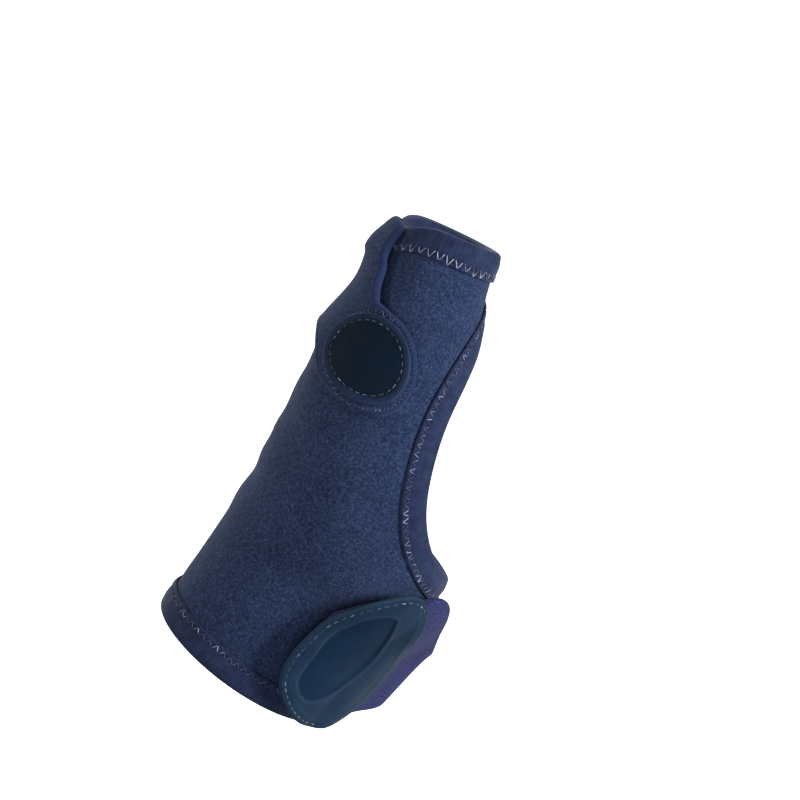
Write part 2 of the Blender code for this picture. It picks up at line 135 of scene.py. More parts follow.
FORM_COLUMNS = ("height", "lean", "forward", "thumb", "swell_out", "swell_back", "tilt", "back_tilt")
FORM_SECTIONS = (
    (0.00, 0.00, 0.00, 0.00, 0.00, 0.00, 0.00, 0.00),
    (0.12, 0.03, 0.05, 0.00, 0.15, 0.20, 0.00, 0.00),
    (0.24, 0.05, 0.15, 0.00, 0.20, 0.45, 0.00, 0.00),
    (0.36, 0.07, 0.35, 0.00, 0.30, 1.00, 0.05, 0.00),
    (0.48, 0.18, 0.70, 0.10, 0.25, 1.00, 0.20, 0.05),
    (0.60, 0.40, 1.00, 0.33, 0.30, 1.00, 0.45, 0.15),
    (0.72, 0.63, 1.05, 0.62, 0.40, 0.80, 0.70, 0.40),
    (0.84, 0.80, 0.90, 0.86, 0.25, 0.35, 0.90, 0.70),
    (1.00, 1.02, 0.55, 1.00, 0.00, 0.00, 1.00, 1.00),
)
DENT_DEPTH = 0.0012
DENTS = (
    (0.35, -58, 0.035, 34, 0.8),
    (0.47, -40, 0.030, 26, -0.4),
    (0.62, -62, 0.040, 30, 0.5),
    (0.44, 62, 0.050, 16, 0.6),
)


def read_column(columns, rows, name, place):
    """The named column at the given places of the first column, on a smooth curve through its rows."""
    table = np.array(rows, dtype=float)
    x = table[:, 0]
    y = table[:, columns.index(name)]
    order = np.argsort(x)
    x = x[order]
    y = y[order]
    slope = np.gradient(y, x)
    i = np.clip(np.searchsorted(x, place) - 1, 0, len(x) - 2)
    step = x[i + 1] - x[i]
    s = (place - x[i]) / step
    start = (2 * s**3 - 3 * s**2 + 1) * y[i] + (s**3 - 2 * s**2 + s) * step * slope[i]
    end = (3 * s**2 - 2 * s**3) * y[i + 1] + (s**3 - s**2) * step * slope[i + 1]
    return start + end


def form_point(share, angle):
    """The sleeve's outer surface at a share of its length and an angle round it."""
    section = {
        name: read_column(FORM_COLUMNS, FORM_SECTIONS, name, share) for name in FORM_COLUMNS[1:]
    }
    thumb = section["thumb"]
    half_out = (WRIST_WIDTH * (1 - thumb) + THUMB_WIDTH * thumb) / 2 + THENAR_SWELL * section["swell_out"]
    half_back = (WRIST_THICKNESS * (1 - thumb) + THUMB_WIDTH * thumb) / 2
    half_back = half_back + THENAR_SWELL * section["swell_back"]
    for middle, turn, share_spread, angle_spread, depth in DENTS:
        away = (np.degrees(angle) - turn + 180) % 360 - 180
        spread = ((share - middle) / share_spread) ** 2 + (away / angle_spread) ** 2
        dent = DENT_DEPTH * depth * np.exp(-spread)
        half_out = half_out - dent
        half_back = half_back - dent
    out = half_out * np.cos(angle)
    back = half_back * np.sin(angle)
    x = math.cos(TURN_TO_VIEWER) * back - math.sin(TURN_TO_VIEWER) * out
    y = -math.cos(TURN_TO_VIEWER) * out - math.sin(TURN_TO_VIEWER) * back
    tilt = COLLAR_TILT * section["tilt"]
    back_tilt = COLLAR_BACK_TILT * section["back_tilt"]
    z = -y * np.sin(back_tilt)
    y = y * np.cos(back_tilt)
    x, z = x * np.cos(tilt) - z * np.sin(tilt), x * np.sin(tilt) + z * np.cos(tilt)
    x = x - THUMB_LEAN * section["lean"]
    y = y - THUMB_FORWARD * section["forward"]
    z = z + CLEARANCE + TAPE_THICKNESS + TAPE_NOSE + SPLINT_LENGTH * share
    return np.stack([x, y, z], axis=-1)


def form_frame(share, angle):
    """The surface's slopes along the length and round the angle, and its outward normal."""
    nudge = 1e-4
    along = (form_point(share + nudge, angle) - form_point(share - nudge, angle)) / (2 * nudge)
    around = (form_point(share, angle + nudge) - form_point(share, angle - nudge)) / (2 * nudge)
    normal = np.cross(around, along)
    normal /= np.linalg.norm(normal, axis=-1, keepdims=True)
    return along, around, normal


def lifted(share, angle, height):
    """Points at a height over the sleeve's outer surface."""
    normal = form_frame(share, angle)[2]
    return form_point(share, angle) + np.asarray(height)[..., None] * normal


def surface_steps(share, angle, direction):
    """The change of share and angle for one metre along a direction that lies in the surface."""
    along, around, _ = form_frame(share, angle)
    aa = (along * along).sum(-1)
    ab = (along * around).sum(-1)
    bb = (around * around).sum(-1)
    da = (along * direction).sum(-1)
    db = (around * direction).sum(-1)
    span = aa * bb - ab * ab
    return (bb * da - ab * db) / span, (aa * db - ab * da) / span


def collar_edge(angle):
    """The sleeve's upper end at an angle, as a share of its length: it dips under the thumb's pad."""
    middle, spread = COLLAR_DIP_PLACE
    away = (np.degrees(angle) - middle + 180) % 360 - 180
    return 1 - COLLAR_DIP / SPLINT_LENGTH * np.exp(-((away / spread) ** 2))


def opening_edge(turn):
    """The edge of the hand's opening: turn 0 at the back's corner, 0.25 at the cuff, 0.5 at the palm's."""
    low = CUFF_SHARE
    high = 1 - (2 * TAPE_WIDTH + WEB_STRIP) / SPLINT_LENGTH
    middle = low + WAIST_SHARE * (high - low)
    swing = np.cos(2 * math.pi * turn)
    rise = np.sin(2 * math.pi * turn)
    power = np.where(rise > 0, 2 / ROUNDNESS_BELOW, 2 / ROUNDNESS_ABOVE)
    reach = np.where(swing > 0, DORSAL_REACH, PALMAR_REACH)
    angle = math.pi - reach * np.sign(swing) * np.abs(swing) ** power
    drop = np.where(rise > 0, middle - low, high - middle)
    share = middle - drop * np.sign(rise) * np.abs(rise) ** power
    return share, angle


def even_turns(facets):
    """Turns that lie evenly along the opening's edge, with both of its corners among them."""
    turns = []
    for start in (0.0, 0.5):
        fine = np.linspace(start, start + 0.5, 4001)
        steps = np.linalg.norm(np.diff(form_point(*opening_edge(fine)), axis=0), axis=1)
        length = np.concatenate([[0.0], np.cumsum(steps)])
        turns.append(np.interp(np.linspace(0, length[-1], facets // 2, endpoint=False), length, fine))
    return np.concatenate(turns)


def opening_inward(turn):
    """The unit direction from the opening's edge into the cloth."""
    nudge = 1e-4
    tangent = form_point(*opening_edge(turn + nudge)) - form_point(*opening_edge(turn - nudge))
    tangent /= np.linalg.norm(tangent, axis=-1, keepdims=True)
    return np.cross(tangent, form_frame(*opening_edge(turn))[2])


def opening_inset(turn, distance):
    """The line at a distance from the opening's edge, as shares and angles."""
    share, angle = opening_edge(turn)
    share_step, angle_step = surface_steps(share, angle, opening_inward(turn))
    return share + distance * share_step, angle + distance * angle_step


def grid_faces(rows, columns, closed=False, offset=0):
    """Quads of a grid whose vertices run column by column within each row."""
    faces = []
    for row in range(rows - 1):
        for column in range(columns if closed else columns - 1):
            beside = (column + 1) % columns
            here = offset + row * columns
            above = here + columns
            faces.append((here + column, here + beside, above + beside, above + column))
    return faces


def ring_faces(lower, upper):
    """Quads between two closed rings of as many vertices."""
    return list(zip(lower, lower[1:] + lower[:1], upper[1:] + upper[:1], upper))


def add_piece(name, vertices, faces, material, marks=None, uv=None):
    """An object of one closed mesh, smooth, with its marks as point attributes and its UV map in metres."""
    mesh = bpy.data.meshes.new(name)
    mesh.from_pydata(np.asarray(vertices).tolist(), [], faces)
    for mark, values in (marks or {}).items():
        layer = mesh.attributes.new(mark, "FLOAT", "POINT")
        layer.data.foreach_set("value", np.ascontiguousarray(values, dtype=np.float32))
    if uv is not None:
        corner = np.empty(len(mesh.loops), dtype=np.int32)
        mesh.loops.foreach_get("vertex_index", corner)
        layer = mesh.uv_layers.new(name="UVMap")
        layer.data.foreach_set("uv", np.asarray(uv, dtype=np.float32)[corner].ravel())
    work = bmesh.new()
    work.from_mesh(mesh)
    bmesh.ops.remove_doubles(work, verts=work.verts, dist=1e-6)
    bmesh.ops.recalc_face_normals(work, faces=work.faces)
    work.to_mesh(mesh)
    work.free()
    mesh.shade_smooth()
    mesh.materials.append(material)
    piece = bpy.data.objects.new(name, mesh)
    scene.collection.objects.link(piece)
    return piece


def wire(tree, kind, inputs=None, **settings):
    """A node with its settings, its inputs given as values or as other nodes' outputs."""
    node = tree.nodes.new(kind)
    for key, value in settings.items():
        setattr(node, key, value)
    for key, value in (inputs or {}).items():
        if isinstance(value, bpy.types.NodeSocket):
            tree.links.new(value, node.inputs[key])
        else:
            node.inputs[key].default_value = value
    return node


def ramp(tree, value, stops):
    """A colour ramp over a value, its stops given as (place, colour)."""
    node = wire(tree, "ShaderNodeValToRGB", {"Fac": value})
    elements = node.color_ramp.elements
    while len(elements) < len(stops):
        elements.new(0.5)
    for element, (place, colour) in zip(elements, stops):
        element.position = place
        element.color = (*colour, 1.0)
    return node.outputs["Color"]


def mix(tree, factor, first, second, blend="MIX"):
    """Two colours mixed by a factor."""
    given = {0: factor}
    for index, side in ((6, first), (7, second)):
        given[index] = side if isinstance(side, bpy.types.NodeSocket) else (*side, 1.0)
    return wire(tree, "ShaderNodeMix", given, data_type="RGBA", blend_type=blend).outputs[2]


def calculate(tree, operation, *values):
    """The result of a mathematical operation on values or other nodes' outputs."""
    return wire(tree, "ShaderNodeMath", dict(enumerate(values)), operation=operation).outputs[0]


def noise(tree, scale, detail, roughness=0.5, distortion=0.0):
    """Noise over the piece's own coordinates in metres."""
    place = tree.nodes.new("ShaderNodeTexCoord").outputs["Object"]
    given = {"Vector": place, "Scale": scale, "Detail": detail}
    given.update({"Roughness": roughness, "Distortion": distortion})
    return wire(tree, "ShaderNodeTexNoise", given).outputs["Fac"]


def bands(tree, scale, distortion, direction="X", detail_scale=1.0):
    """Stripes over the UV map in metres, across its first axis unless told otherwise."""
    mapped = wire(tree, "ShaderNodeUVMap", uv_map="UVMap").outputs["UV"]
    given = {"Vector": mapped, "Scale": scale, "Distortion": distortion, "Detail Scale": detail_scale}
    wave = wire(tree, "ShaderNodeTexWave", given, wave_type="BANDS", bands_direction=direction)
    return wave.outputs["Fac"]


def finish_material(material, shader, colour, height, strength, distance):
    """The material with its colour and a bump of the given depth in metres."""
    tree = material.node_tree
    tree.links.new(colour, shader.inputs["Base Color"])
    bump = wire(tree, "ShaderNodeBump", {"Height": height, "Strength": strength, "Distance": distance})
    tree.links.new(bump.outputs["Normal"], shader.inputs["Normal"])
    return material


def start_material(name, roughness, sheen=0.0, sheen_tint=(1.0, 1.0, 1.0), specular=0.5):
    """A new material with its constant values set on the shader itself."""
    material = bpy.data.materials.new(name)
    material.use_nodes = True
    tree = material.node_tree
    shader = tree.nodes["Principled BSDF"]
    shader.inputs["Roughness"].default_value = roughness
    shader.inputs["Sheen Weight"].default_value = sheen
    shader.inputs["Sheen Roughness"].default_value = 0.45
    shader.inputs["Sheen Tint"].default_value = (*sheen_tint, 1.0)
    shader.inputs["Specular IOR Level"].default_value = specular
    return material, tree, shader


BRUSHED_NAVY = ((0.003, 0.006, 0.020), (0.011, 0.021, 0.060), (0.042, 0.066, 0.145))
WEAR_DEPTH = 0.00022
# Depth, turn along the whole length, turn for each degree round it, and start of each ripple
WEAR_WAVES = (
    (0.45, 34, 0.055, 0.6),
    (0.30, 61, -0.038, 2.1),
    (0.25, 17, 0.105, 4.0),
    (0.16, 96, 0.16, 1.0),
)


def brushed_cloth(name, deep, middle, pale, bound=None):
    """Brushed neoprene facing: short fibres lie every way, so it is mottled at half a millimetre."""
    material, tree, shader = start_material(name, 0.95, 0.10, (0.62, 0.72, 1.0), 0.10)
    tufts = noise(tree, 1350.0, 6.0, 0.72)
    fibres = noise(tree, 4200.0, 3.0, distortion=1.4)
    wear = noise(tree, 55.0, 3.0, 0.6)
    half_tufts = calculate(tree, "MULTIPLY", tufts, 0.5)
    pile = calculate(tree, "MULTIPLY_ADD", fibres, 0.5, half_tufts)
    colour = ramp(tree, pile, ((0.39, deep), (0.50, middle), (0.64, pale)))
    faded = ramp(tree, wear, ((0.3, (0.82, 0.82, 0.84)), (0.7, (1.16, 1.15, 1.12))))
    colour = mix(tree, 1.0, colour, faded, "MULTIPLY")
    if bound is not None:
        edge = wire(tree, "ShaderNodeAttribute", attribute_name="bound").outputs["Fac"]
        colour = mix(tree, edge, colour, bound)
    return finish_material(material, shader, colour, pile, 0.55, 0.00035)


def soft_wear(share, angle):
    """The slight hollows and ripples of cloth that has been worn, never above the plain form."""
    degrees = np.degrees(angle)
    ripple = sum(
        depth * np.sin(share * along + around * degrees + start)
        for depth, along, around, start in WEAR_WAVES
    )
    return WEAR_DEPTH * (ripple - sum(wave[0] for wave in WEAR_WAVES))


def hump(place, middle, spread):
    """A soft hump, 1 at its middle."""
    return np.exp(-(((place - middle) / spread) ** 2))


def ease(part):
    """A share from 0 to 1 that starts and stops softly."""
    return part * part * (3 - 2 * part)


def distance_to_line(points, starts, ends):
    """The distance from each point to the nearest of the straight pieces from starts to ends."""
    nearest = np.full(len(points), np.inf)
    for a, b in zip(starts, ends):
        along = np.clip(((points - a) @ (b - a)) / ((b - a) @ (b - a)), 0, 1)[:, None]
        nearest = np.minimum(nearest, np.linalg.norm(points - a - along * (b - a), axis=1))
    return nearest


WEAR_FADE = 0.006
ROUND_FACETS = 216
OPENING_FACETS = 232
ROWS_BELOW = 38
ROWS_ABOVE = 46

turns = even_turns(OPENING_FACETS)
half = OPENING_FACETS // 2
front = ROUND_FACETS - half
inset_share, inset_angle = opening_inset(turns, TAPE_WIDTH)
spare_angle = np.linspace(inset_angle[half] - 2 * math.pi, inset_angle[0], front + 1)[1:-1]
spare_share = np.linspace(inset_share[half], inset_share[0], front + 1)[1:-1]
lower_share = np.concatenate([inset_share[: half + 1], spare_share])
lower_angle = np.concatenate([inset_angle[: half + 1], spare_angle + 2 * math.pi])
back_to_front = np.arange(OPENING_FACETS, half - 1, -1) % OPENING_FACETS
upper_share = np.concatenate([inset_share[back_to_front], spare_share])
upper_angle = np.concatenate([inset_angle[back_to_front], spare_angle + 2 * math.pi])
even_angle = inset_angle[0] + np.linspace(0, 2 * math.pi, ROUND_FACETS, endpoint=False)
below = np.linspace(0, 1, ROWS_BELOW)[:, None]
above = 1 - np.linspace(0, 1, ROWS_ABOVE)[1:, None]
extra = np.arange(1, half)
panel_angle = even_angle + (upper_angle - even_angle) * above**2
panel_end = collar_edge(panel_angle)
panel_share = panel_end - above * (panel_end - upper_share)
share = np.concatenate([(below * lower_share).ravel(), upper_share[extra], panel_share.ravel()])
angle = np.concatenate([
    (even_angle + (lower_angle - even_angle) * below**2).ravel(),
    upper_angle[extra],
    panel_angle.ravel(),
])
faces = grid_faces(ROWS_BELOW, ROUND_FACETS, True)
last_row = (ROWS_BELOW - 1) * ROUND_FACETS
count = ROWS_BELOW * ROUND_FACETS
row_below = [
    count + column - 1 if 0 < column < half else last_row + column for column in range(ROUND_FACETS)
]
border = [last_row + column for column in range(half + 1)]
border += [row_below[half - step] for step in range(1, half)]
start = count + len(extra)
for _ in range(1, ROWS_ABOVE):
    row_above = list(range(start, start + ROUND_FACETS))
    faces += ring_faces(row_below, row_above)
    row_below = row_above
    start += ROUND_FACETS
for inset in np.linspace(TAPE_WIDTH, 0, 7)[1:]:
    ring_share, ring_angle = opening_inset(turns, inset)
    ring = list(range(len(share), len(share) + OPENING_FACETS))
    share = np.concatenate([share, ring_share])
    angle = np.concatenate([angle, ring_angle])
    faces += ring_faces(border, ring)
    border = ring

# Wear fades out towards the tapes, where the sewing keeps the cloth flat
skin = form_point(share, angle)
edge = form_point(*opening_edge(turns))
to_edge = np.min([np.linalg.norm(skin - point, axis=1) for point in edge[::2]], axis=0)
to_end = np.minimum(share, collar_edge(angle) - share) * SPLINT_LENGTH
free = np.clip((np.minimum(to_edge, to_end) - TAPE_WIDTH) / WEAR_FADE, 0, 1)
height = soft_wear(share, angle) * ease(free)
count = len(share)
vertices = np.concatenate([lifted(share, angle, height), lifted(share, angle, height - NEOPRENE)])
edges = {(a, b) for face in faces for a, b in zip(face, face[1:] + face[:1])}
walls = [(b, a, a + count, b + count) for a, b in edges if (b, a) not in edges]
under = [tuple(v + count for v in reversed(face)) for face in faces]
navy_cloth = brushed_cloth("brushed_navy", *BRUSHED_NAVY)
sleeve = add_piece("sleeve_cloth", vertices, faces + under + walls, navy_cloth)
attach(sleeve, "root")
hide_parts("sleeve")

# The bindings: knitted tape folded over the sleeve's three edges, at the forearm, round the hand's opening
# A zigzag of thread, pale in patches of painted highlight, sews each one near the tape's inner edge.
SEAM_INSET = 0.0050
SEAM_GROOVE = 0.00022
SEAM_SUNK = 0.00016
TAPE_ROLL = 0.00012
TAPE_PUCKER = 0.00005
THREAD_RADIUS = 0.00013
# Pitch and width of each zigzag
CUFF_ZIGZAG = (0.0024, 0.0017)
HAND_ZIGZAG = (0.0023, 0.0021)
COLLAR_ZIGZAG = (0.0027, 0.0028)
STRAP_ZIGZAG = (0.0022, 0.0022)
FLAP_ZIGZAG = (0.0022, 0.0012)


def knitted_tape(name, deep, light):
    """Smooth knitted tape: fine ribs run across it, and it is a little brighter where it is stretched."""
    material, tree, shader = start_material(name, 0.8, 0.10, (0.55, 0.65, 1.0), 0.15)
    ribs = bands(tree, 230.0, 1.2, detail_scale=2.0)
    patches = noise(tree, 420.0, 5.0, 0.6)
    colour = ramp(tree, patches, ((0.32, deep), (0.68, light)))
    shade = ramp(tree, ribs, ((0.0, (0.93, 0.93, 0.93)), (1.0, (1.02, 1.02, 1.02))))
    colour = mix(tree, 1.0, colour, shade, "MULTIPLY")
    grain = calculate(tree, "MULTIPLY_ADD", patches, 0.8, ribs)
    return finish_material(material, shader, colour, grain, 0.35, 0.00015)


def spun_thread(name, deep, pale, highlight_from=0.44):
    """Sewing thread with painted highlights: random patches are painted pale as glints, and the rest keeps
    a deep colour close to the cloth's.
    """
    material, tree, shader = start_material(name, 0.55, 0.3, (0.9, 0.93, 1.0), 0.4)
    patches = noise(tree, 330.0, 3.0)
    twist = noise(tree, 5200.0, 2.0)
    # Painted highlights: past the threshold the noise patches turn the thread pale
    colour = ramp(tree, patches, ((highlight_from, deep), (highlight_from + 0.16, pale)))
    return finish_material(material, shader, colour, twist, 0.4, 0.00006)


def sewing_tree():
    """Thread along a line: it dives into the cloth at each stitch and swings from side to side."""
    tree = bpy.data.node_groups.new("sewing", "GeometryNodeTree")
    sockets = (
        ("Line", "Geometry"),
        ("Samples", "Int"),
        ("Width", "Float"),
        ("Rise", "Float"),
        ("Sink", "Float"),
        ("Arches", "Float"),
        ("Thread", "Float"),
        ("Finish", "Material"),
    )
    for label, kind in sockets:
        tree.interface.new_socket(label, in_out="INPUT", socket_type="NodeSocket" + kind)
    tree.interface.new_socket("Sewn", in_out="OUTPUT", socket_type="NodeSocketGeometry")
    given = tree.nodes.new("NodeGroupInput").outputs
    curve = wire(tree, "GeometryNodeMeshToCurve", {"Mesh": given["Line"]})
    samples = {"Curve": curve.outputs[0], "Count": given["Samples"]}
    even = wire(tree, "GeometryNodeResampleCurve", samples)
    index = tree.nodes.new("GeometryNodeInputIndex").outputs[0]
    phase = calculate(tree, "MULTIPLY", index, math.pi / 2)
    swing = calculate(tree, "MULTIPLY", calculate(tree, "COSINE", phase), given["Width"])
    across = calculate(tree, "MULTIPLY", swing, 0.5)
    arch = calculate(tree, "MULTIPLY", calculate(tree, "MULTIPLY", phase, given["Arches"]), 0.5)
    arch = calculate(tree, "ABSOLUTE", calculate(tree, "SINE", arch))
    travel = calculate(tree, "ADD", given["Rise"], given["Sink"])
    rise = calculate(tree, "SUBTRACT", calculate(tree, "MULTIPLY", arch, travel), given["Sink"])
    moves = []
    for mark, amount in (("side", across), ("lift", rise)):
        direction = wire(tree, "GeometryNodeInputNamedAttribute", {"Name": mark}, data_type="FLOAT_VECTOR")
        given_move = {0: direction.outputs[0], "Scale": amount}
        moves.append(wire(tree, "ShaderNodeVectorMath", given_move, operation="SCALE").outputs[0])
    shift = wire(tree, "ShaderNodeVectorMath", dict(enumerate(moves)), operation="ADD").outputs[0]
    moved = wire(tree, "GeometryNodeSetPosition", {"Geometry": even.outputs[0], "Offset": shift})
    bent = wire(tree, "GeometryNodeCurveSplineType", {"Curve": moved.outputs[0]}, spline_type="CATMULL_ROM")
    finer = wire(tree, "GeometryNodeSetSplineResolution", {"Geometry": bent.outputs[0], "Resolution": 3})
    ring = wire(tree, "GeometryNodeCurvePrimitiveCircle", {"Resolution": 6, "Radius": given["Thread"]})
    thread = {"Curve": finer.outputs[0], "Profile Curve": ring.outputs[0], "Fill Caps": True}
    swept = wire(tree, "GeometryNodeCurveToMesh", thread)
    smooth = wire(tree, "GeometryNodeSetShadeSmooth", {"Geometry": swept.outputs[0]})
    real = wire(tree, "GeometryNodeRealizeInstances", {"Geometry": smooth.outputs[0]})
    finish = {"Geometry": real.outputs[0], "Material": given["Finish"]}
    dressed = wire(tree, "GeometryNodeSetMaterial", finish)
    wire(tree, "NodeGroupOutput", {"Sewn": dressed.outputs[0]})
    return tree


SEWING = sewing_tree()


def sew(name, line, side, lift, pitch, width, arches, thread, closed, finish, rise=0.0002, sink=0.00015):
    """A row of stitches along a line, as a plain mesh. Two arches make a zigzag, one a running stitch."""
    mesh = bpy.data.meshes.new(name)
    count = len(line)
    links = [(i, (i + 1) % count) for i in range(count if closed else count - 1)]
    mesh.from_pydata(line.tolist(), links, [])
    for mark, values in (("side", side), ("lift", lift)):
        layer = mesh.attributes.new(mark, "FLOAT_VECTOR", "POINT")
        layer.data.foreach_set("vector", np.ascontiguousarray(values, dtype=np.float32).ravel())
    length = sum(np.linalg.norm(line[b] - line[a]) for a, b in links)
    samples = 4 * round(length / pitch) + (0 if closed else 1)
    guide = bpy.data.objects.new(name + "_line", mesh)
    scene.collection.objects.link(guide)
    modifier = guide.modifiers.new("sewing", "NODES")
    modifier.node_group = SEWING
    values = {
        "Samples": samples, "Width": width, "Rise": rise, "Sink": sink, "Arches": float(arches),
        "Thread": thread, "Finish": finish,
    }
    for item in SEWING.interface.items_tree:
        if item.in_out == "INPUT" and item.name in values:
            modifier[item.identifier] = values[item.name]
    bpy.context.view_layer.update()
    evaluated = guide.evaluated_get(bpy.context.evaluated_depsgraph_get())
    sewn = bpy.data.meshes.new_from_object(evaluated)
    sewn.name = name
    seam = bpy.data.objects.new(name, sewn)
    scene.collection.objects.link(seam)
    bpy.data.objects.remove(guide, do_unlink=True)
    bpy.data.meshes.remove(mesh)
    return seam


def tape_profile():
    """Places across the folded tape: distance from the sleeve's edge, and height over its outer face."""
    reach = CLEARANCE + TAPE_THICKNESS
    outer = []
    near_edge = np.linspace(TAPE_WIDTH, TAPE_WIDTH * 0.86, 5)
    for along in np.concatenate([near_edge, np.linspace(0.0052, 0, 14)]):
        thin = 1 - 0.45 * np.clip(along / TAPE_WIDTH - 0.35, 0, 1) / 0.65
        thin -= 0.35 * np.clip((along / TAPE_WIDTH - 0.9) / 0.1, 0, 1) ** 2
        groove = SEAM_GROOVE * hump(along, SEAM_INSET, 0.0007)
        roll = TAPE_ROLL * hump(along, 0.0018, 0.0014)
        outer.append((along, CLEARANCE + TAPE_THICKNESS * thin - groove + roll))
    inner = [(along, -NEOPRENE - height) for along, height in reversed(outer)]
    nose = []
    for turn in np.radians(np.linspace(76, -76, 13)):
        depth = (reach + TAPE_NOSE) * math.cos(turn) ** 0.7
        nose.append((-depth, (NEOPRENE / 2 + reach) * math.sin(turn) - NEOPRENE / 2))
    hidden = [(TAPE_WIDTH, -NEOPRENE - CLEARANCE), (-CLEARANCE, -NEOPRENE - CLEARANCE)]
    hidden += [(-CLEARANCE, CLEARANCE), (TAPE_WIDTH, CLEARANCE)]
    return outer + nose + inner + hidden


def bind_edge(name, node, share, angle, inward, pitch, width, thread):
    """Folded tape along a closed edge of the sleeve, and its zigzag seam."""
    profile = tape_profile()
    share_step, angle_step = surface_steps(share, angle, inward)
    stations = len(share)
    edge_line = form_point(share, angle)
    steps = np.linalg.norm(np.diff(edge_line, axis=0, append=edge_line[:1]), axis=1)
    travelled = np.concatenate([[0.0], np.cumsum(steps)])[:-1]
    pucker = np.sin(travelled / pitch * math.pi) + 0.7 * np.sin(travelled * 610 + 1.3)
    rows = []
    uv = []
    wide = 0.0
    before = None
    for along, height in profile:
        on_cloth = max(along, 0.0)
        gathered = TAPE_PUCKER * pucker * hump(along, 0.0034, 0.0018)
        if height < -NEOPRENE / 2:
            gathered = -gathered
        places = lifted(share + on_cloth * share_step, angle + on_cloth * angle_step, height + gathered)
        rows.append(places + min(along, 0.0) * inward)
        if before is not None:
            wide += math.hypot(along - before[0], height - before[1])
        before = (along, height)
        uv.append(np.stack([travelled, np.full(stations, wide)], axis=-1))
    points = len(profile)
    faces = []
    for station in range(stations):
        beside = (station + 1) % stations
        here = list(range(station * points, (station + 1) * points))
        faces += ring_faces(here, list(range(beside * points, (beside + 1) * points)))
    uv = np.stack(uv, axis=1).reshape(-1, 2)
    tape = add_piece(name, np.stack(rows, axis=1).reshape(-1, 3), faces, tape_cloth, uv=uv)
    seam_share = share + SEAM_INSET * share_step
    seam_angle = angle + SEAM_INSET * angle_step
    lift = form_frame(seam_share, seam_angle)[2]
    height = CLEARANCE + TAPE_THICKNESS * 0.75 - SEAM_SUNK
    line = lifted(seam_share, seam_angle, np.full(stations, height))
    uneven = 0.88 + 0.24 * np.sin(travelled * 1130 + 1.0) * np.sin(travelled * 467 + 0.4)
    seam = sew(
        name + "_seam", line, inward * uneven[:, None], lift, pitch, width, 2, THREAD_RADIUS, True, thread
    )
    for piece in (tape, seam):
        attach(piece, "root")
        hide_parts(node)
    return [tape, seam]


def round_edge(angle, share, direction):
    """Shares, angles and the inward direction along a round end of the sleeve."""
    _, around, normal = form_frame(share, angle)
    inward = np.cross(normal, around)
    inward /= np.linalg.norm(inward, axis=-1, keepdims=True)
    return share, angle, inward * direction


tape_cloth = knitted_tape("tape_blue", (0.004, 0.009, 0.034), (0.012, 0.021, 0.064))
# Threads whose pale patches are painted highlights: the first shows the most of them, the other two fewer
pale_thread = spun_thread("thread_pale", (0.020, 0.030, 0.080), (0.27, 0.29, 0.42))
faint_thread = spun_thread("thread_faint", (0.012, 0.022, 0.062), (0.20, 0.23, 0.36), 0.53)
sparse_highlight_thread = spun_thread("thread_sparse_highlight", (0.011, 0.020, 0.058), (0.21, 0.24, 0.39), 0.52)
hand_turns = even_turns(420)
cuff_angles = np.linspace(0, 2 * math.pi, 300, endpoint=False)
collar_angles = np.linspace(0, 2 * math.pi, 220, endpoint=False)
cuff = round_edge(cuff_angles, np.zeros(300), 1)
bindings = bind_edge("forearm_tape", "forearm_binding", *cuff, *CUFF_ZIGZAG, faint_thread)
hand_edge = (*opening_edge(hand_turns), opening_inward(hand_turns))
bindings += bind_edge("hand_tape", "hand_binding", *hand_edge, *HAND_ZIGZAG, sparse_highlight_thread)
collar = round_edge(collar_angles, collar_edge(collar_angles), -1)
bindings += bind_edge("thumb_tape", "thumb_binding", *collar, *COLLAR_ZIGZAG, pale_thread)

# The wrist strap: neoprene faced with violet-blue loop cloth, sewn to the cuff at the back of the outer
# side. It comes round the outer side, stands off a little there, and ends under the moulded patch.
STRAP_THICKNESS = 0.0026
STRAP_ROUNDING = 0.0009
STRAP_RIPPLE = 0.00018
WRIST_STRAP_SLACK = 0.0066
WRIST_STRAP_COLUMNS = ("angle", "lower", "upper", "slack")
WRIST_STRAP_STATIONS = (
    (56, 0.36, 0.68, 0.00),
    (64, 0.18, 0.83, 0.00),
    (76, 0.11, 0.92, 0.00),
    (88, 0.10, 0.96, 0.00),
    (98, 0.10, 1.01, 0.20),
    (108, 0.13, 0.99, 0.32),
    (118, 0.17, 0.85, 0.58),
    (130, 0.24, 0.71, 1.08),
    (147, 0.27, 0.70, 1.10),
    (166, 0.26, 0.74, 0.48),
    (185, 0.25, 0.76, 0.00),
    (207, 0.25, 0.76, 0.00),
    (230, 0.25, 0.76, 0.00),
)


def loop_cloth(name, deep, light):
    """Loop cloth: a fine basket of loops at half a millimetre, with a faint change of shade along it."""
    material, tree, shader = start_material(name, 0.9, 0.05, (0.75, 0.72, 1.0), 0.06)
    loops = calculate(tree, "MULTIPLY", bands(tree, 420.0, 0.9), bands(tree, 380.0, 0.9, "Y"))
    patches = noise(tree, 1500.0, 5.0, 0.7)
    pile = calculate(tree, "MULTIPLY_ADD", loops, 0.22, patches)
    colour = ramp(tree, pile, ((0.36, deep), (0.70, light)))
    return finish_material(material, shader, colour, pile, 0.5, 0.0003)


def rounded(distance, radius):
    """How much of its half thickness a slab has at a distance from its edge."""
    return np.sqrt(1 - (1 - np.clip(distance / radius, 0, 1)) ** 2)


def slab(name, share, angle, inner, outer, fullness, faces, material, marks=None, uv=None):
    """A soft slab over the sleeve, full within and closing to a line at its edge."""
    middle = (inner + outer) / 2
    half = (outer - inner) / 2 * fullness
    vertices = np.concatenate([lifted(share, angle, middle + half), lifted(share, angle, middle - half)])
    count = len(share)
    under = [tuple(v + count for v in reversed(face)) for face in faces]
    marks = {mark: np.concatenate([values, values]) for mark, values in (marks or {}).items()}
    uv = None if uv is None else np.concatenate([uv, uv])
    return add_piece(name, vertices, list(faces) + under, material, marks, uv)


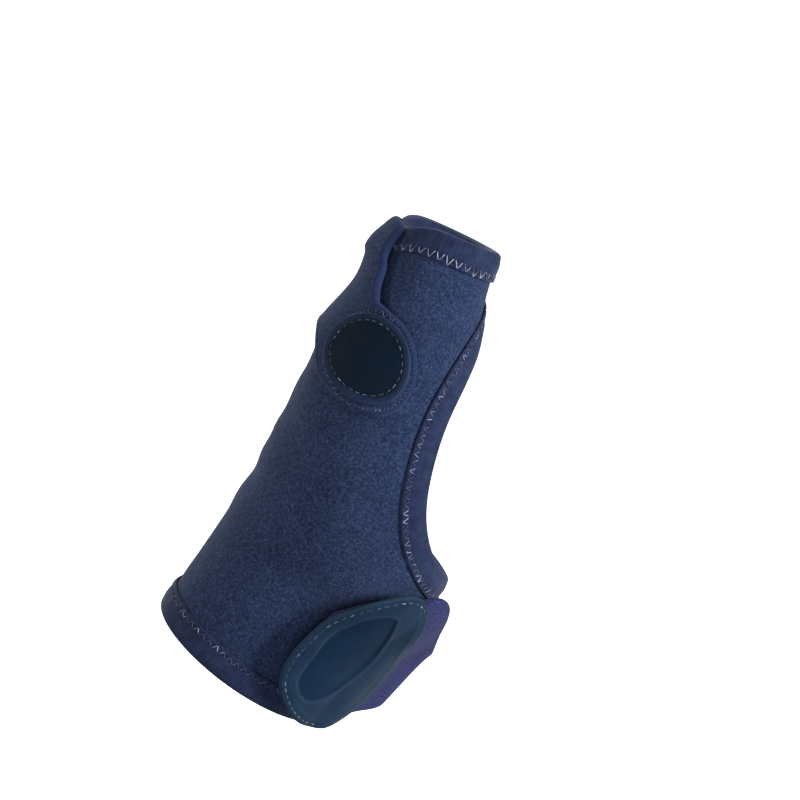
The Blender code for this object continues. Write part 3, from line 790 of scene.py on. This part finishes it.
columns = 190
rows = 46
spread = 0.5 - 0.5 * np.cos(np.linspace(0, math.pi, columns))
spread = 0.25 * spread + 0.75 * np.linspace(0, 1, columns)
place = WRIST_STRAP_STATIONS[0][0] + spread * (WRIST_STRAP_STATIONS[-1][0] - WRIST_STRAP_STATIONS[0][0])
lower, upper, slack = (
    read_column(WRIST_STRAP_COLUMNS, WRIST_STRAP_STATIONS, name, place) for name in WRIST_STRAP_COLUMNS[1:]
)
across = (0.5 - 0.5 * np.cos(np.linspace(0, math.pi, rows)))[:, None]
share = (lower + (upper - lower) * across) * CUFF_SHARE
angle = np.broadcast_to(np.radians(place), share.shape)
centre_line = form_point(share[rows // 2], angle[rows // 2])
travelled = np.concatenate([[0.0], np.cumsum(np.linalg.norm(np.diff(centre_line, axis=0), axis=1))])
wide = (upper - lower) * CUFF_HEIGHT
from_side = np.minimum(across, 1 - across) * wide
from_end = np.minimum(travelled, travelled[-1] - travelled)
fullness = rounded(from_side, STRAP_ROUNDING) * rounded(from_end, STRAP_ROUNDING)
inner = 2 * CLEARANCE + TAPE_THICKNESS + WRIST_STRAP_SLACK * np.clip(slack, 0, None)
inner = inner + STRAP_RIPPLE * (np.sin(place * 0.31) + 1) * np.clip(slack * 3, 0, 1)
inner = np.broadcast_to(inner, share.shape)
uv = np.stack([np.broadcast_to(travelled, share.shape), across * wide], axis=-1).reshape(-1, 2)
violet_loop = loop_cloth("loop_violet", (0.008, 0.011, 0.044), (0.030, 0.036, 0.112))
wrist_strap = slab(
    "wrist_strap_cloth", share.ravel(), angle.ravel(), inner.ravel(), inner.ravel() + STRAP_THICKNESS,
    fullness.ravel(), grid_faces(rows, columns), violet_loop, uv=uv,
)

# A row of zigzag holds the strap's sewn end to the cuff
sewn_share = np.linspace(0.28, 0.73, 40) * CUFF_SHARE
sewn = np.full(len(sewn_share), math.radians(WRIST_STRAP_STATIONS[-1][0] - 3))
sewn_height = np.full(len(sewn_share), 2 * CLEARANCE + TAPE_THICKNESS + STRAP_THICKNESS - 0.0001)
_, sewn_around, sewn_lift = form_frame(sewn_share, sewn)
sewn_around = sewn_around / np.linalg.norm(sewn_around, axis=-1, keepdims=True)
wrist_strap_seam = sew(
    "wrist_strap_seam", lifted(sewn_share, sewn, sewn_height), sewn_around, sewn_lift,
    *STRAP_ZIGZAG, 2, 0.00015, False, pale_thread,
)
for piece in (wrist_strap, wrist_strap_seam):
    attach(piece, "root")
    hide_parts("wrist_strap")

# The wrist patch: a moulded slate-blue end piece over the strap's free end, with a sunken leaf in it and
# dashed stitches along its curved edge. The leaf is plain.
TAB_THICKNESS = 0.0016
TAB_ROUNDING = 0.0008
WRIST_TAB_MIDDLE = (80, 0.50)
WRIST_TAB_OUTLINE = (
    (109, 0.54), (101, 0.77), (94.5, 0.91), (89, 0.98),
    (80, 1.00), (70, 0.95), (60, 0.85), (54, 0.70),
    (52, 0.52), (52, 0.34), (56, 0.20), (65, 0.10),
    (77, 0.035), (89, 0.02), (101, 0.07), (110, 0.26),
)
WRIST_LEAF = (
    (77, 0.862), (81, 0.81), (85.6, 0.722), (89, 0.621), (90, 0.505),
    (89, 0.414), (86.5, 0.315), (82.5, 0.215), (76, 0.172), (68, 0.200),
    (62.8, 0.275), (61.3, 0.42), (60.4, 0.57), (62.6, 0.704), (68, 0.822),
)
WRIST_LEAF_DEPTH = 0.00045
SUNK_SLOPE = 0.0005
LEAF_LIP = 0.00010
TAB_RIDGE = 0.00012


def moulded(name, outer, sunk, worn):
    """Moulded rubbery plastic: a fine pebbled skin, a darker sunken field, and edges paler in patches."""
    material, tree, shader = start_material(name, 0.6, specular=0.06)
    pebble = noise(tree, 1900.0, 4.0, 0.6)
    smear = noise(tree, 120.0, 4.0, 0.65)
    field = wire(tree, "ShaderNodeAttribute", attribute_name="sunk").outputs["Fac"]
    rim = wire(tree, "ShaderNodeAttribute", attribute_name="rim").outputs["Fac"]
    colour = mix(tree, field, outer, sunk)
    cloud = ramp(tree, smear, ((0.3, (0.78, 0.80, 0.84)), (0.72, (1.22, 1.20, 1.16))))
    colour = mix(tree, 1.0, colour, cloud, "MULTIPLY")
    grain = ramp(tree, pebble, ((0.3, (0.86, 0.86, 0.86)), (0.7, (1.12, 1.12, 1.12))))
    colour = mix(tree, 1.0, colour, grain, "MULTIPLY")
    # The rim mark, broken into patches by the smear noise, turns the edges paler
    edge_pale_share = calculate(tree, "MULTIPLY", rim, smear)
    colour = mix(tree, edge_pale_share, colour, worn)
    return finish_material(material, shader, colour, pebble, 0.35, 0.00012)


def over_wrist_strap(place):
    """The height of the wrist patch's inner face over the sleeve at places round the cuff in degrees."""
    on_strap = np.maximum(place, WRIST_STRAP_STATIONS[0][0])
    slack = np.clip(read_column(WRIST_STRAP_COLUMNS, WRIST_STRAP_STATIONS, "slack", on_strap), 0, None)
    return 3 * CLEARANCE + TAPE_THICKNESS + STRAP_THICKNESS + WRIST_STRAP_SLACK * slack


def disc_faces(rings, spokes):
    """Faces of a round grid: its middle is vertex 0, and its rings run outwards."""
    faces = [(0, 1 + spoke, 1 + (spoke + 1) % spokes) for spoke in range(spokes)]
    return faces + [tuple(reversed(face)) for face in grid_faces(rings, spokes, True, 1)]


def ring_places(inner_part, inner_rings, rim_rings):
    """The rings' places from the middle to the rim, closer together at the rim."""
    at_rim = np.sin(np.linspace(0, math.pi / 2, rim_rings))[1:]
    within = np.linspace(0, inner_part, inner_rings)[1:]
    return np.concatenate([within, inner_part + (1 - inner_part) * at_rim])


def closed_outline(rows, samples):
    """A smooth closed line through its rows, as evenly turned samples."""
    points = np.array(rows, dtype=float)
    knots = np.arange(-2, len(points) + 3)
    table = np.column_stack([knots, points[knots % len(points)]])
    turn = np.arange(samples) * len(points) / samples
    names = ("knot", "first", "second")
    return read_column(names, table, "first", turn), read_column(names, table, "second", turn)


spokes = 288
outline_angle, outline_height = closed_outline(WRIST_TAB_OUTLINE, spokes)
parts = ring_places(0.93, 52, 9)
place, tall = (
    np.concatenate([[middle], (middle + parts[:, None] * (outline - middle)).ravel()])
    for middle, outline in zip(WRIST_TAB_MIDDLE, (outline_angle, outline_height))
)
share = tall * CUFF_SHARE
angle = np.radians(place)
rim_line = form_point(outline_height * CUFF_SHARE, np.radians(outline_angle))
skin = form_point(share, angle)
to_rim = distance_to_line(skin, rim_line, np.roll(rim_line, -1, axis=0))

# The leaf's field: how deep each place lies inside its outline
leaf_angle, leaf_height = closed_outline(WRIST_LEAF, 160)
leaf_line = form_point(leaf_height * CUFF_SHARE, np.radians(leaf_angle))
to_leaf = distance_to_line(skin, leaf_line, np.roll(leaf_line, -1, axis=0))
inside = np.zeros(len(skin), dtype=bool)
for i in range(len(leaf_angle)):
    j = i - 1
    spans = (leaf_height[i] > tall) != (leaf_height[j] > tall)
    rise = leaf_height[j] - leaf_height[i]
    slope = (leaf_angle[j] - leaf_angle[i]) / (rise if rise else 1e-9)
    cross = leaf_angle[i] + (tall - leaf_height[i]) * slope
    inside ^= spans & (place < cross)
depth = np.where(inside, to_leaf, -to_leaf)
sunk = ease(np.clip(depth / SUNK_SLOPE + 0.5, 0, 1))
lip = hump(depth, -0.0006, 0.0004)
inner = over_wrist_strap(place)
outer = inner + TAB_THICKNESS - WRIST_LEAF_DEPTH * sunk + LEAF_LIP * lip
outer = outer + TAB_RIDGE * hump(to_rim, 0.0026, 0.0007)
# Where the patch turns paler: along its outer rim and on the leaf's lip
rim = 0.3 * hump(to_rim, 0, 0.0007) + 0.5 * lip
wrist_skin = moulded(
    "slate_moulding", (0.0075, 0.021, 0.046), (0.003, 0.0145, 0.037), (0.030, 0.048, 0.080)
)
wrist_tab = slab(
    "wrist_patch", share, angle, inner, outer, rounded(to_rim, TAB_ROUNDING),
    disc_faces(len(parts), spokes), wrist_skin, {"sunk": sunk, "rim": rim},
)

# Dashes run along the curved edge, from the straight edge's top round to its foot
DASH_INSET = 0.0015
DASH_PITCH = 0.0024
DASH_DEPTHS = {"rise": 0.00012, "sink": 0.0005}
curved = np.arange(int(spokes * 2.4 / 16), int(spokes * 13.3 / 16))
from_middle = np.linalg.norm(rim_line - form_point(share[:1], angle[:1]), axis=1)
inset = 1 - DASH_INSET / from_middle
dash_angle, dash_height = (
    middle + inset[curved] * (outline[curved] - middle)
    for middle, outline in zip(WRIST_TAB_MIDDLE, (outline_angle, outline_height))
)
dash_share = dash_height * CUFF_SHARE
dash_lift = form_frame(dash_share, np.radians(dash_angle))[2]
dash_top = over_wrist_strap(dash_angle) + TAB_THICKNESS
# Grey thread, pale in patches of painted highlight
dash_thread = spun_thread("thread_grey", (0.008, 0.016, 0.034), (0.14, 0.17, 0.22), 0.47)
dash_line = lifted(dash_share, np.radians(dash_angle), dash_top - 0.00005)
wrist_tab_seam = sew(
    "wrist_patch_seam", dash_line, dash_lift, dash_lift, DASH_PITCH, 0.0, 1, 0.00017, False, dash_thread,
    **DASH_DEPTHS,
)
for piece in (wrist_tab, wrist_tab_seam):
    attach(piece, "root")
    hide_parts("wrist_tab")

# The thumb strap: a tongue of the sleeve's own cloth that comes round the thumb from the palm and ends in a
# round flap. Its edge is bound, broadly along the top, and a zigzag runs inside the flap's edge.
THUMB_STRAP_BULGE = 0.0019
THUMB_TAB_DIAMETER = 0.0222
FLAP_MARGIN = 0.0022
THUMB_TAB_PLACE = (12.5, 0.729)
THUMB_STRAP_COLUMNS = ("angle", "lower", "upper", "fan")
THUMB_STRAP_STATIONS = (
    (-2, 0.640, 0.832, 0),
    (-10, 0.646, 0.861, 0),
    (-18, 0.658, 0.901, 2),
    (-26, 0.680, 0.930, 6),
    (-34, 0.698, 0.955, 14),
    (-42, 0.711, 0.976, 23),
    (-51, 0.718, 0.988, 22),
    (-62, 0.725, 0.991, 13),
    (-76, 0.730, 0.990, 4),
    (-90, 0.735, 0.985, 0),
)
THUMB_STRAP_BULGE_PLACE = (-56, 0.918)
THUMB_STRAP_BULGE_SPREAD = (24, 0.050)
THUMB_STRAP_THINS = (0.93, 0.99, 0.5)
BOUND_WIDTH = 0.0030
FLAP_BOUND_WIDTH = 0.0014
BOUND_SLOPE = 0.0004
FLAP_ROUNDING = 0.0011
BOUND_RISE = 0.00014


def tape_cover(share):
    """The height of a strap's inner face over the sleeve: low on the cloth, over the tape at the collar."""
    low = 2 * CLEARANCE
    high = 2 * CLEARANCE + TAPE_THICKNESS
    end = 1 - (TAPE_WIDTH + TAPE_THICKNESS + COLLAR_DIP) / SPLINT_LENGTH
    start = end - STRAP_THICKNESS / SPLINT_LENGTH
    part = np.clip((share - start) / (end - start), 0, 1)
    return low + (high - low) * ease(part)


tab_angle = math.radians(THUMB_TAB_PLACE[0])
tab_share = THUMB_TAB_PLACE[1]
tab_along, tab_around, _ = form_frame(np.array([tab_share]), np.array([tab_angle]))
share_step = 1 / np.linalg.norm(tab_along)
angle_step = 1 / np.linalg.norm(tab_around)


def round_flap(radius, turn):
    """Shares and angles of places at a radius from the flap's middle and a turn round it."""
    return tab_share + radius * np.sin(turn) * share_step, tab_angle + radius * np.cos(turn) * angle_step


radius = THUMB_TAB_DIAMETER / 2 + FLAP_MARGIN
turns = np.radians(np.linspace(1.5, 82, 46))
place = np.linspace(THUMB_STRAP_STATIONS[0][0], THUMB_STRAP_STATIONS[-1][0], 110)
lower, upper, fan = (
    read_column(THUMB_STRAP_COLUMNS, THUMB_STRAP_STATIONS, name, place) for name in THUMB_STRAP_COLUMNS[1:]
)
fan = np.concatenate([np.zeros(len(turns)), np.radians(fan)])
flap_upper, flap_angle = round_flap(radius, turns)
lower = np.concatenate([2 * tab_share - flap_upper, lower])
upper = np.concatenate([flap_upper, upper])
lower_angle = np.concatenate([flap_angle, np.radians(place)])
rows = 64
columns = len(lower)
across = (0.5 - 0.5 * np.cos(np.linspace(0, math.pi, rows)))[:, None]
share = lower + (upper - lower) * across
angle = lower_angle + fan * across**2
skin = form_point(share, angle)
edge_line = np.concatenate([skin[0][::-1], skin[-1]])
to_edge = distance_to_line(skin.reshape(-1, 3), edge_line[:-1], edge_line[1:]).reshape(rows, columns)
from_end = np.linalg.norm(skin - skin[:, -1:], axis=2)
to_edge[:, -1] = 0
off_angle = (np.degrees(angle) - THUMB_STRAP_BULGE_PLACE[0]) / THUMB_STRAP_BULGE_SPREAD[0]
off_share = (share - THUMB_STRAP_BULGE_PLACE[1]) / THUMB_STRAP_BULGE_SPREAD[1]
inner = tape_cover(share) + THUMB_STRAP_BULGE * np.exp(-(off_angle**2) - off_share**2)
thin_start, thin_end, thinned = THUMB_STRAP_THINS
thin = np.clip((share - thin_start) / (thin_end - thin_start), 0, 1)
outer = inner + STRAP_THICKNESS * (1 - thinned * thin**2)
past_flap = np.clip((np.degrees(tab_angle) + 4 - np.degrees(angle)) / 14, 0, 1)
from_upper = np.linalg.norm(skin - skin[-1:], axis=2)
bound = past_flap * np.clip((BOUND_WIDTH - from_upper) / BOUND_SLOPE + 0.5, 0, 1)
bound = np.maximum(bound, np.clip((FLAP_BOUND_WIDTH - to_edge) / BOUND_SLOPE + 0.5, 0, 1))
outer = outer + BOUND_RISE * bound
fullness = rounded(np.minimum(to_edge, from_end), FLAP_ROUNDING)
flap_cloth = brushed_cloth("brushed_flap", *BRUSHED_NAVY, (0.011, 0.020, 0.062))
thumb_strap = slab(
    "thumb_strap_cloth", share.ravel(), angle.ravel(), inner.ravel(), outer.ravel(), fullness.ravel(),
    grid_faces(rows, columns), flap_cloth, {"bound": bound.ravel()},
)

# The zigzag inside the flap's edge
FLAP_SEAM_INSET = 0.0012
seam_turns = np.radians(np.linspace(-150, 150, 200))
seam_share, seam_angle = round_flap(radius - FLAP_SEAM_INSET, seam_turns)
seam_lift = form_frame(seam_share, seam_angle)[2]
seam_line = lifted(seam_share, seam_angle, tape_cover(seam_share) + STRAP_THICKNESS - 0.0001)
seam_side = np.cross(seam_lift, np.gradient(seam_line, axis=0))
seam_side /= np.linalg.norm(seam_side, axis=-1, keepdims=True)
thumb_strap_seam = sew(
    "thumb_strap_seam", seam_line, seam_side, seam_lift, *FLAP_ZIGZAG, 2, 0.00012, False, faint_thread
)
for piece in (thumb_strap, thumb_strap_seam):
    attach(piece, "root")
    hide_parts("thumb_strap")

# The thumb patch: a round moulded patch on the flap. A raised ring with a line of stitches frames a darker
# face of fine slanting ribs.
RING_WIDTH = 0.0016
RING_CROWN = 0.00008
DISC_DEPTH = 0.00055
RING_ROUNDING = 0.0007
RING_DASH_INSET = 0.0005
RING_DASH_PITCH = 0.0021
RIB_PITCH = 0.00115
RIB_RISE = 0.00005
RIB_SLANT = math.radians(38)

spokes = 256
parts = ring_places(0.94, 60, 8)
turn = 2 * math.pi * np.arange(spokes) / spokes
disc_radius = THUMB_TAB_DIAMETER / 2 * parts[:, None]
disc_x = np.concatenate([[0.0], (disc_radius * np.cos(turn)).ravel()])
disc_y = np.concatenate([[0.0], (disc_radius * np.sin(turn)).ravel()])
share = tab_share + disc_y * share_step
angle = tab_angle + disc_x * angle_step
to_rim = THUMB_TAB_DIAMETER / 2 - np.hypot(disc_x, disc_y)
field = ease(np.clip((to_rim - RING_WIDTH) / SUNK_SLOPE + 0.5, 0, 1))
slanted = disc_x * math.sin(RIB_SLANT) + disc_y * math.cos(RIB_SLANT)
ribs = RIB_RISE * (0.5 + 0.5 * np.sin(2 * math.pi * slanted / RIB_PITCH)) * field
inner = tape_cover(share) + STRAP_THICKNESS + CLEARANCE
outer = inner + TAB_THICKNESS - DISC_DEPTH * field + ribs
outer = outer + RING_CROWN * hump(to_rim, RING_WIDTH / 2, 0.0005)
# Where the patch turns paler: at its outer edge, and less at the ring's inner edge
rim = hump(to_rim, 0, 0.0005) + 0.35 * hump(to_rim, RING_WIDTH, 0.0003)
disc_skin = moulded("ink_moulding", (0.006, 0.015, 0.042), (0.001, 0.006, 0.016), (0.030, 0.050, 0.100))
thumb_tab = slab(
    "thumb_patch", share, angle, inner, outer, rounded(to_rim, RING_ROUNDING),
    disc_faces(len(parts), spokes), disc_skin, {"sunk": field, "rim": rim},
)
# Slate thread, pale in a few patches of painted highlight
sparse_highlight_dash = spun_thread("thread_slate", (0.004, 0.012, 0.030), (0.13, 0.18, 0.25), 0.52)
dash_turns = np.linspace(0, 2 * math.pi, 240, endpoint=False)
dash_share, dash_angle = round_flap(THUMB_TAB_DIAMETER / 2 - RING_WIDTH - RING_DASH_INSET, dash_turns)
dash_lift = form_frame(dash_share, dash_angle)[2]
dash_height = tape_cover(dash_share) + STRAP_THICKNESS + CLEARANCE + TAB_THICKNESS - 0.00050
dash_line = lifted(dash_share, dash_angle, dash_height)
thumb_tab_seam = sew(
    "thumb_patch_seam", dash_line, dash_lift, dash_lift, RING_DASH_PITCH, 0.0, 1, 0.00015, True, sparse_highlight_dash,
    **DASH_DEPTHS,
)
for piece in (thumb_tab, thumb_tab_seam):
    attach(piece, "root")
    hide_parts("thumb_tab")
